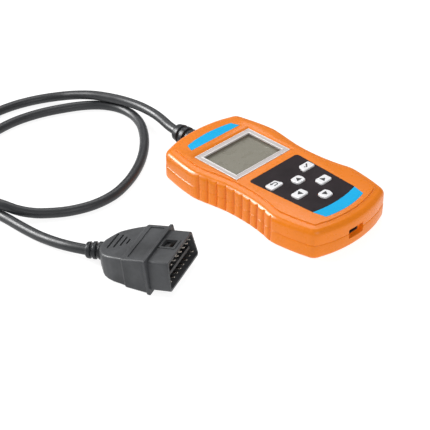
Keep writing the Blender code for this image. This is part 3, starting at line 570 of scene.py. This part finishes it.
def soft_max(a, b, blend=0.22):
    """The larger of two numbers, rounded off where they are alike."""
    h = max(blend - abs(a - b), 0.0) / blend
    return max(a, b) + h * h * blend / 4


def case_rings(profile):
    """Rings of the case wall: profile is (inset, z) pairs; the flutes cut into the upright part."""
    outline = case_outline()
    steps = outward_steps(outline)
    depths = [flute_depth(y) if abs(y) < FLUTE_REACH else 0.0 for _, y in outline]
    rings = []
    for inset, z in profile:
        ring = []
        for point, step, depth in zip(outline, steps, depths):
            reach = inset if depth == 0.0 else soft_max(inset, depth)
            x, y = Vector(point) - step * reach
            ring.append((x, y, z))
        rings.append(ring)
    return rings


def edge_profile(centre_z, radius, inset, upward):
    """(inset, z) pairs of a rounded edge, from the upright wall to the flat face."""
    pairs = []
    for i in range(EDGE_STEPS + 1):
        angle = math.pi / 2 * i / EDGE_STEPS
        pairs.append((inset + radius * (1 - math.cos(angle)), centre_z + upward * radius * math.sin(angle)))
    return pairs


def case_body_outline(distance):
    return offset_outline(case_outline()[::2], distance)


def label_recess(outline):
    low = LABEL_TOP_Z - LABEL_THICKNESS - 0.1
    return prism("recess", offset_outline(outline, LABEL_CLEARANCE), low, ABOVE_CASE)


def key_openings(keys, z_low, z_high):
    shapes = [offset_outline(shape, KEY_CLEARANCE) for shape in keys.values()]
    return gathered("key_openings", [prism("opening", shape, z_low, z_high) for shape in shapes])


def at_screws(name, z_low, z_high, radius):
    """An upright cylinder at each screw, all of them in one piece."""
    return gathered(name, [cylinder(name, spot, z_low, z_high, radius) for spot in SCREW_PLACES])


def port_cutters():
    half_x, half_z = PORT_POCKET
    floor_y = -CASE_END + PORT_POCKET_DEPTH
    rings = []
    for y, grow in ((-CASE_END - 5.0, 2.2), (-CASE_END + 0.25, 0.0), (floor_y, -0.25)):
        outline = rounded_polygon(rectangle(half_x + grow, half_z + grow, 0.0), 0.6)
        rings.append([(PORT_X + x, y, PORT_Z + z) for x, z in outline])
    half_x, half_z = PORT_THROAT
    throat = box("throat", (PORT_X - half_x, -CASE_END - 4, PORT_Z - half_z),
                 (PORT_X + half_x, -CASE_END + 8, PORT_Z + half_z))
    return [loft("mouth", rings), throat]


def gland_cutter():
    return turned("gland_hole", [(-6.0, 4.0), (6.0, 4.0)], (0.0, CASE_END - 3.0, GLAND_Z), (0, 1, 0), 40)


def port_pad(low, high):
    half = PORT_PAD[0]
    return box("pad", (PORT_X - half, PORT_PAD_Y[0], low), (PORT_X + half, PORT_PAD_Y[1], high))


def make_front_shell(keys):
    top_edge = CASE_HEIGHT - 1.0 - TOP_EDGE_RADIUS
    seam = PARTING_Z + SEAM
    profile = [(0.22, seam), (0.21, seam + 0.45), (0.12, seam + 1.1), (0.10, 12.0), (0.12, 13.5)]
    profile += edge_profile(top_edge, TOP_EDGE_RADIUS, 0.15, 1)
    profile += [(BAND_INNER - 1.3, BAND_Z - 0.20), (BAND_INNER - 0.55, BAND_Z - 0.08),
                (BAND_INNER - 0.42, BAND_Z - 0.14), (BAND_INNER - 0.34, BAND_Z - 0.10),
                (BAND_INNER - 0.26, CASE_HEIGHT - 0.30), (BAND_INNER - 0.16, CASE_HEIGHT - 0.08),
                (BAND_INNER - 0.03, CASE_HEIGHT - 0.02), (BAND_INNER + 0.12, CASE_HEIGHT)]
    shell = loft("front_shell", case_rings(profile), LOOKS["orange"])
    cut(shell, prism("cavity", case_body_outline(-WALL), 0.0, CAVITY_TOP))
    posts = at_screws("post", seam, CAVITY_TOP + 0.5, FRONT_POST_RADIUS)
    join(shell, posts, port_pad(seam, PORT_PAD[1]))
    cut(shell, at_screws("pilot", 0.0, 15.6, SCREW_HOLE_RADIUS))
    outer = rectangle(FRAME_OUTER[0] + 0.12, FRAME_OUTER[1] + 0.12, LCD_Y)
    wide = rectangle(FRAME_OUTER[0] + POCKET_SLOPE, FRAME_OUTER[1] + POCKET_SLOPE, LCD_Y)
    wider = rectangle(FRAME_OUTER[0] + 2 * POCKET_SLOPE, FRAME_OUTER[1] + 2 * POCKET_SLOPE, LCD_Y)
    levels = ((outer, POCKET_FLOOR), (outer, FRAME_Z[1] - 0.25), (wide, CASE_HEIGHT), (wider, 21.2))
    cut(shell, loft("pocket", [[(x, y, z) for x, y in shape] for shape, z in levels]))
    cut(shell, prism("opening", rectangle(*DISPLAY_OPENING, LCD_Y), UNDER_SKIN, 19.0))
    recesses = [label_recess(outline) for outline in (lower_label_outline(), upper_band_outline())]
    cut(shell, gathered("recesses", recesses))
    cut(shell, key_openings(keys, UNDER_SKIN, ABOVE_CASE), gland_cutter(), *port_cutters())
    place(shell, "reader", "orange_shell", "front_housing")


def make_rear_shell():
    seam = PARTING_Z - SEAM
    profile = list(reversed(edge_profile(BOTTOM_EDGE_RADIUS, BOTTOM_EDGE_RADIUS, 0.0, -1)))
    profile += [(0.0, 5.0), (0.0, seam - 0.50), (0.10, seam - 0.26), (0.36, seam)]
    shell = loft("rear_shell", case_rings(profile), LOOKS["orange"])
    cut(shell, prism("cavity", case_body_outline(-REAR_WALL), 2.0, 11.0))
    join(shell, at_screws("post", 1.5, seam, REAR_POST_RADIUS), port_pad(1.5, seam))
    cut(shell, at_screws("hole", -1.0, 11.0, SCREW_HOLE_RADIUS))
    cut(shell, at_screws("seat", -1.0, *SCREW_SEAT))
    sticker = rounded_polygon(rectangle(*STICKER_RECESS), 2.0)
    cut(shell, prism("sticker_recess", sticker, -1.0, 0.6), gland_cutter(), *port_cutters())
    place(shell, "reader", "orange_rear_shell", "rear_housing")


# ------------------------------------------------------------------ display, labels and keys
def make_display_frame():
    """A mitred picture frame with soft edges and an inner lip that slopes to the window."""
    low, high = FRAME_Z
    profile = [(0.0, low), (0.0, high - 0.18), (0.06, high - 0.06), (0.18, high), (0.55, high),
               (0.75, high - 0.16), (2.9, high - 0.16), (3.05, high), (3.45, high), (3.6, high - 0.12),
               (3.8, low - 0.1), (3.8, low - 0.25), (1.0, low - 0.05)]
    rings = []
    for inset, z in profile:
        outline = rectangle(FRAME_OUTER[0] - inset, FRAME_OUTER[1] - inset, LCD_Y)
        rings.append([(x, y, z) for x, y in outline])
    bezel = loft("display_bezel", rings, LOOKS["silver"], closed=True)
    bezel.data.materials.append(LOOKS["painted_highlight_silver"])
    # up-facing faces outside the sunk band take the lighter silver: a painted highlight on the lips
    for face in bezel.data.polygons:
        inset_x = FRAME_OUTER[0] - abs(face.center.x) / MM
        inset_y = FRAME_OUTER[1] - abs(face.center.y / MM - LCD_Y)
        if face.normal.z > 0.5 and not FRAME_BAND[0] < min(inset_x, inset_y) < FRAME_BAND[1]:
            face.material_index = 1
    place(bezel, "reader", "silver_frame", "display_frame")


def make_films(keys):
    low, high = LABEL_TOP_Z - LABEL_THICKNESS, LABEL_TOP_Z
    film = prism("keypad_film", keypad_outline(), low, high, LOOKS["black_film"], 0.06)
    cut(film, key_openings(keys, 19.0, 21.0))
    place(film, "reader", "black_label", "keypad_overlay")
    for name, outline, node in (("lower_blue_film", lower_band_outline(), "lower_blue_band"),
                                ("upper_blue_film", upper_band_outline(), "upper_blue_band")):
        band = prism(name, outline, low, high, LOOKS["blue_film"], 0.06)
        place(band, "reader", "blue_print", node)


def triangle(centre, heading, size):
    """A small arrowhead that points along heading, in degrees from +X."""
    turn = Matrix.Rotation(math.radians(heading), 2)
    corners = [(-0.55 * size, -0.85 * size), (0.75 * size, 0.0), (-0.55 * size, 0.85 * size)]
    return rounded_polygon([tuple(Vector(centre) + turn @ Vector(corner)) for corner in corners], 0.15, 3)


def stroke(points, width):
    """The outline of a bent line of the given width."""
    half = width / 2
    sides = []
    for i, point in enumerate(points):
        before = Vector(points[max(i - 1, 0)])
        after = Vector(points[min(i + 1, len(points) - 1)])
        along = (after - before).normalized()
        sides.append((Vector(point), Vector((along.y, -along.x)) * half))
    right = [tuple(point + side) for point, side in sides]
    left = [tuple(point - side) for point, side in sides]
    return right + list(reversed(left))


def symbol_outlines(name, centre):
    """The printed signs: arrowheads, a return arrow for back and a tick for confirm."""
    x, y = centre
    if name == "back":
        bend = [(x + 1.0 + 1.1 * math.cos(a), y + 1.1 * math.sin(a))
                for a in spread(-math.pi / 2, math.pi / 2, 0.3)]
        hook = [(x - 1.2, y - 1.1)] + bend + [(x - 0.9, y + 1.1)]
        return [stroke(hook, 0.65), triangle((x - 1.5, y + 1.1), 180, 1.25)]
    if name == "confirm":
        return [stroke([(x - 1.7, y + 0.1), (x - 0.6, y - 1.1), (x + 2.0, y + 1.5)], 0.85)]
    heading = {"up": 90, "down": 270, "left": 180, "right": 0}[name]
    return [triangle(centre, heading, 2.3)]


def make_keys(keys):
    for name, shape in keys.items():
        flange = offset_outline(shape, 0.9)
        rings = [[(x, y, z) for x, y in outline]
                 for outline, z in ((flange, KEY_STEM_Z), (flange, KEY_FLANGE_TOP), (shape, KEY_FLANGE_TOP))]
        rings += quarter_round(shape, KEY_TOP_Z - 0.45, 0.42, 6)
        rings.append([(x, y, KEY_TOP_Z) for x, y in offset_outline(shape, -1.0)])
        body = f"{name}_key"
        place(loft(f"{name}_cap", rings, LOOKS["key"]), body, "white_key", body)
        signs = symbol_outlines(name, outline_centre(shape))
        parts = [prism("sign", outline, KEY_TOP_Z - 0.1, KEY_TOP_Z + 0.03) for outline in signs]
        sign = parts[0] if len(parts) == 1 else join(*parts)
        sign.name = f"{name}_sign"
        sign.data.materials.append(LOOKS["symbol"])
        place(sign, body, "black_label")


# ------------------------------------------------------------------ lead and plug
def smooth_route(points, spacing):
    """Evenly spaced points on a centripetal Catmull-Rom curve through the given points."""
    knots = [Vector(point) for point in points]
    knots = [2 * knots[0] - knots[1]] + knots + [2 * knots[-1] - knots[-2]]
    fine = []
    for p0, p1, p2, p3 in zip(knots, knots[1:], knots[2:], knots[3:]):
        t1 = (p1 - p0).length ** 0.5
        t2 = t1 + (p2 - p1).length ** 0.5
        t3 = t2 + (p3 - p2).length ** 0.5
        for step in range(CORD_STEPS):
            t = t1 + (t2 - t1) * step / CORD_STEPS
            a1 = p0.lerp(p1, t / t1)
            a2 = p1.lerp(p2, (t - t1) / (t2 - t1))
            a3 = p2.lerp(p3, (t - t2) / (t3 - t2))
            b1 = a1.lerp(a2, t / t2)
            b2 = a2.lerp(a3, (t - t1) / (t3 - t1))
            fine.append(b1.lerp(b2, (t - t1) / (t2 - t1)))
    fine.append(knots[-2])
    travelled = [0.0]
    for a, b in zip(fine, fine[1:]):
        travelled.append(travelled[-1] + (b - a).length)
    pieces = round(travelled[-1] / spacing)
    even = []
    segment = 0
    for i in range(pieces + 1):
        target = travelled[-1] * i / pieces
        while segment < len(fine) - 2 and travelled[segment + 1] < target:
            segment += 1
        part = (target - travelled[segment]) / (travelled[segment + 1] - travelled[segment])
        even.append(fine[segment].lerp(fine[segment + 1], part))
    return even


def make_lead():
    points = smooth_route(CORD_ROUTE, CORD_SPACING)
    points[0] -= Vector((0.0, 0.6, 0.0))     # the lead's end lies inside the gland
    curve = bpy.data.curves.new("lead", "CURVE")
    curve.dimensions = "3D"
    curve.bevel_depth = CORD_RADIUS * MM
    curve.bevel_resolution = 8
    curve.use_fill_caps = True
    spline = curve.splines.new("POLY")
    spline.points.add(len(points) - 1)
    for slot, point in zip(spline.points, points):
        slot.co = (*(point * MM), 1.0)
    spline.use_smooth = True
    lead = bpy.data.objects.new("lead", curve)
    curve.materials.append(LOOKS["rubber"])
    bpy.context.scene.collection.objects.link(lead)
    return place(lead, "reader", "lead_rubber", "obd_lead")


def make_gland():
    """Three soft rings, the last one tapered, from the case wall to the lead."""
    end = GLAND_END_Y
    rings = [(CASE_END - 1.0, 0.0), (CASE_END - 1.0, 6.2), (end - 11.9, 6.2), (end - 11.75, 4.8),
             (end - 9.95, 4.8), (end - 9.8, 6.2), (end - 6.85, 6.15), (end - 6.7, 4.75), (end - 4.95, 4.75),
             (end - 4.8, 6.05), (end - 0.7, 5.2), (end, 4.4), (end, 0.0)]
    profile = [(y - CASE_END, r) for y, r in softened(rings, 0.45)][1:-1]
    gland = turned("lead_gland", profile, (0.0, CASE_END, GLAND_Z), (0, 1, 0), 56, LOOKS["gland"])
    place(gland, "reader", "gland_rubber", "cable_gland")


def plug_matrix():
    spin = Matrix.Rotation(PLUG_HEADING, 4, "Z")
    tilt = Matrix.Rotation(-PLUG_TILT, 4, "X")
    return Matrix.Translation(Vector(PLUG_MOUTH) * MM) @ spin @ tilt


def floor_height(y):
    """The plug frame's z where it meets the table, at y along the plug."""
    return (y * math.sin(PLUG_TILT) - PLUG_MOUTH[2] + 0.05) / math.cos(PLUG_TILT)


def section(y, top, bottom, radius, steps=6, shift=0.0):
    """A plug cross-section at y, from the half widths and heights of its top and bottom sides."""
    corners = [(-bottom[0], bottom[1]), (bottom[0], bottom[1]), (top[0], top[1]), (-top[0], top[1])]
    return [(x + shift, y, z) for x, z in rounded_polygon(corners, radius, steps)]


def between(stations, y):
    """Values at y, read off (y, value, value, ...) rows."""
    for low, high in zip(stations, stations[1:]):
        if y <= high[0]:
            t = (y - low[0]) / (high[0] - low[0])
            return [a + (b - a) * t for a, b in zip(low[1:], high[1:])]
    return list(stations[-1][1:])


def plug_slot(half, y):
    return prism("slot", rounded_polygon(rectangle(half, 0.55, y), 0.3, 4), 7.3, 12.0)


def make_plug_body():
    """The overmould: front lip, wide grip, step, shoulders that close on the strain relief."""
    front = SHROUD_DEPTH + 0.1
    stations = (                          # y, top half width, top z, bottom half width, edge radius, shift
        (front, 18.0, 9.9, 20.0, 1.0, 0.0), (front + 0.3, 18.4, 10.1, 20.4, 1.2, 0.0),
        (front + 1.3, 18.4, 10.1, 20.4, 1.2, 0.0), (front + 1.6, 18.0, 10.0, 20.1, 1.4, 0.0),
        (front + 1.75, 17.25, 9.6, 19.4, 1.5, 0.0), (25.9, 17.4, 9.3, 19.2, 1.5, 0.0),
        (26.3, 17.2, 9.25, 19.0, 1.5, 0.0), (27.0, 16.35, 9.0, 18.1, 1.4, -0.1),
        (27.5, 16.1, 8.9, 17.8, 1.4, -0.2), (31.0, 15.3, 8.7, 17.2, 1.5, -0.5),
        (34.0, 14.4, 8.5, 16.6, 1.5, -0.9), (37.5, 13.1, 8.3, 15.3, 1.6, -1.3),
        (40.0, 11.7, 8.2, 13.8, 1.8, -1.6), (41.3, 10.4, 8.15, 12.4, 2.1, -1.85),
        (42.5, 8.7, 8.1, 10.6, 2.4, -2.1), (44.5, 6.1, 7.9, 7.6, 3.0, -2.5),
        (45.4, 5.4, 7.5, 6.0, 3.6, -2.1), (45.75, 5.0, 7.2, 5.4, 3.8, -2.0))
    heights = sorted({row[0] for row in stations} | set(spread(front + 3.0, 45.0, 1.4)))
    rings = []
    for y in heights:
        top_half, top_z, bottom_half, radius, shift = between(stations, y)
        rings.append(section(y, (top_half, top_z), (bottom_half, floor_height(y)), radius, 6, shift))
    body = loft("plug_body", rings, LOOKS["plug"])
    panel = rounded_polygon([(-14.5, 15.2), (14.5, 15.2), (14.5, 23.8), (-14.5, 23.8)], 0.5, 4)
    cut(body, prism("panel", panel, 8.85, 12.0))
    cut(body, gathered("slots", [plug_slot(half, y) for half, y in PLUG_SLOTS]))
    body.data.transform(PLUG_FRAME)
    return place(body, "reader", "plug_overmould", "plug_housing")


def make_plug_hood():
    """The shroud round the pins, with a framed window in its narrow side."""
    rings = []
    for y, inset in ((SHROUD_DEPTH, 0.0), (0.35, 0.0), (0.1, 0.08), (0.0, 0.3)):
        top = (SHROUD_TOP[0] - inset, SHROUD_TOP[1] - inset)
        bottom = (SHROUD_BOTTOM[0] - inset, SHROUD_BOTTOM[1] + inset)
        rings.append(section(y, top, bottom, 1.6, 8))
    hood = loft("plug_hood", list(reversed(rings)), LOOKS["shroud"])
    rim = rounded_polygon([(-2.6, 1.8), (6.0, 1.8), (6.0, 11.7), (-2.6, 11.7)], 0.4)
    join(hood, prism("rim", rim, 7.4, 8.85, edge=0.2))
    wall = SHROUD_WALL
    top = (SHROUD_TOP[0] - wall, SHROUD_TOP[1] - wall)
    bottom = (SHROUD_BOTTOM[0] - wall, SHROUD_BOTTOM[1] + wall)
    cut(hood, loft("cavity", [section(y, top, bottom, 1.0) for y in (-3.0, SHROUD_DEPTH - 1.6)]))
    window = rounded_polygon([(-1.6, 3.2), (5.0, 3.2), (5.0, 10.4), (-1.6, 10.4)], 0.3)
    cut(hood, prism("window", window, 6.0, 10.0))
    hood.data.transform(PLUG_FRAME)
    return place(hood, "reader", "shroud_plastic", "plug_shroud")


def make_plug_gland():
    root = (PLUG_FRAME @ (Vector(PLUG_RELIEF_ROOT) * MM)) / MM
    axis = Vector(CORD_ROUTE[-1]) - root
    end = axis.length
    rings = [(-1.2, 0.0), (-1.2, 4.9), (end - 7.3, 5.0), (end - 7.15, 3.8), (end - 5.95, 3.8),
             (end - 5.8, 5.0), (end - 4.0, 4.9), (end - 3.85, 3.7), (end - 2.65, 3.7), (end - 2.5, 4.8),
             (end - 0.5, 4.5), (end + 0.3, 3.6), (end + 0.3, 0.0)]
    gland = turned("plug_gland", softened(rings, 0.35)[1:-1], root, axis, 48, LOOKS["gland"])
    return place(gland, "reader", "gland_rubber", "plug_strain_relief")


# ------------------------------------------------------------------ carried-over CAD nodes
def dress_nodes():
    looks = {
        "display_window": "window", "lcd_panel": "lcd", "lcd_holder": "white_moulding", "rear_label": "label",
        "main_board": "board", "processor_chip": "chip", "bus_transceiver_chip": "chip",
        "voltage_regulator": "chip", "clock_crystal": "steel", "lead_header": "white_moulding",
        # the USB socket's metal shell takes the near-black chip look: painted shade that keeps the port's
        # hole dark
        "usb_socket_shell": "chip", "usb_contact_tongue": "chip", "inner_lead_bundle": "rubber",
        "pin_carrier": "carrier"}
    looks.update({f"case_screw_{number}": "steel" for number in range(1, 5)})
    looks.update({f"{name}_switch": "chip" for name in key_outlines()})
    looks.update({name: "pin" for name in PIN_NODES})
    for name, look in looks.items():
        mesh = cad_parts[name].data
        mesh.materials.clear()
        mesh.materials.append(LOOKS[look])


# ------------------------------------------------------------------ stage, light and camera
def make_stage():
    half = 3.0
    corners = [(-half, -half, 0.0), (half, -half, 0.0), (half, half, 0.0), (-half, half, 0.0)]
    mesh = bpy.data.meshes.new("floor")
    mesh.from_pydata(corners, [], [(0, 1, 2, 3)])
    floor = bpy.data.objects.new("floor", mesh)
    white = new_material("floor_white", (0.30, 0.30, 0.30), 0.9, specular=0.1)
    glow = white.node_tree.nodes["Principled BSDF"]
    glow.inputs["Emission Color"].default_value = (1.0, 1.0, 1.0, 1.0)
    glow.inputs["Emission Strength"].default_value = 0.86
    mesh.materials.append(white)
    bpy.context.scene.collection.objects.link(floor)


def add_light(name, place_m, size, power, aim=(0.0, 0.0, 0.0)):
    data = bpy.data.lights.new(name, "AREA")
    data.shape = "RECTANGLE"
    data.size, data.size_y = size
    data.energy = power
    light = bpy.data.objects.new(name, data)
    light.location = place_m
    light.rotation_euler = (Vector(aim) - Vector(place_m)).to_track_quat("-Z", "Y").to_euler()
    bpy.context.scene.collection.objects.link(light)
    return light


def light_scene():
    world = bpy.data.worlds.new("studio")
    world.use_nodes = True
    sky = world.node_tree.nodes["Background"]
    sky.inputs["Color"].default_value = (1.0, 1.0, 1.0, 1.0)
    sky.inputs["Strength"].default_value = 0.30
    bpy.context.scene.world = world
    add_light("key_softbox", (-0.60, 0.86, 0.62), (0.26, 0.48), 7.5)
    sheen = add_light("edge_softbox", (-0.58, 0.86, 0.56), (0.45, 0.60), 27.0)
    sheen.visible_diffuse = False        # it only draws the glints along the rounded edges
    add_light("top_softbox", (0.40, 0.50, 1.00), (0.7, 0.7), 5.8)
    add_light("front_fill", (-0.35, -1.00, 0.75), (0.8, 0.8), 5.0)


def add_camera():
    data = bpy.data.cameras.new("camera")
    data.lens = CAMERA_LENS
    data.sensor_width = 36.0
    data.clip_start = 0.01
    camera = bpy.data.objects.new("camera", data)
    flat = math.cos(CAMERA_ELEVATION)
    back = Vector((-math.sin(CAMERA_HEADING) * flat, -math.cos(CAMERA_HEADING) * flat,
                   math.sin(CAMERA_ELEVATION)))
    camera.location = (Vector(CAMERA_TARGET) + back * CAMERA_DISTANCE) * MM
    camera.rotation_euler = (-back).to_track_quat("-Z", "Y").to_euler()
    bpy.context.scene.collection.objects.link(camera)
    bpy.context.scene.camera = camera


LOOKS = make_materials()
PLUG_FRAME = plug_matrix()
add_camera()
light_scene()
make_stage()
lead = make_lead()
key_shapes = key_outlines()
make_front_shell(key_shapes)
make_rear_shell()
make_display_frame()
make_films(key_shapes)
make_keys(key_shapes)
make_gland()
on_lead = [make_plug_body(), make_plug_hood(), make_plug_gland(), "pin_carrier", *PIN_NODES]
dress_nodes()
bpy.context.scene.view_settings.view_transform = "Standard"
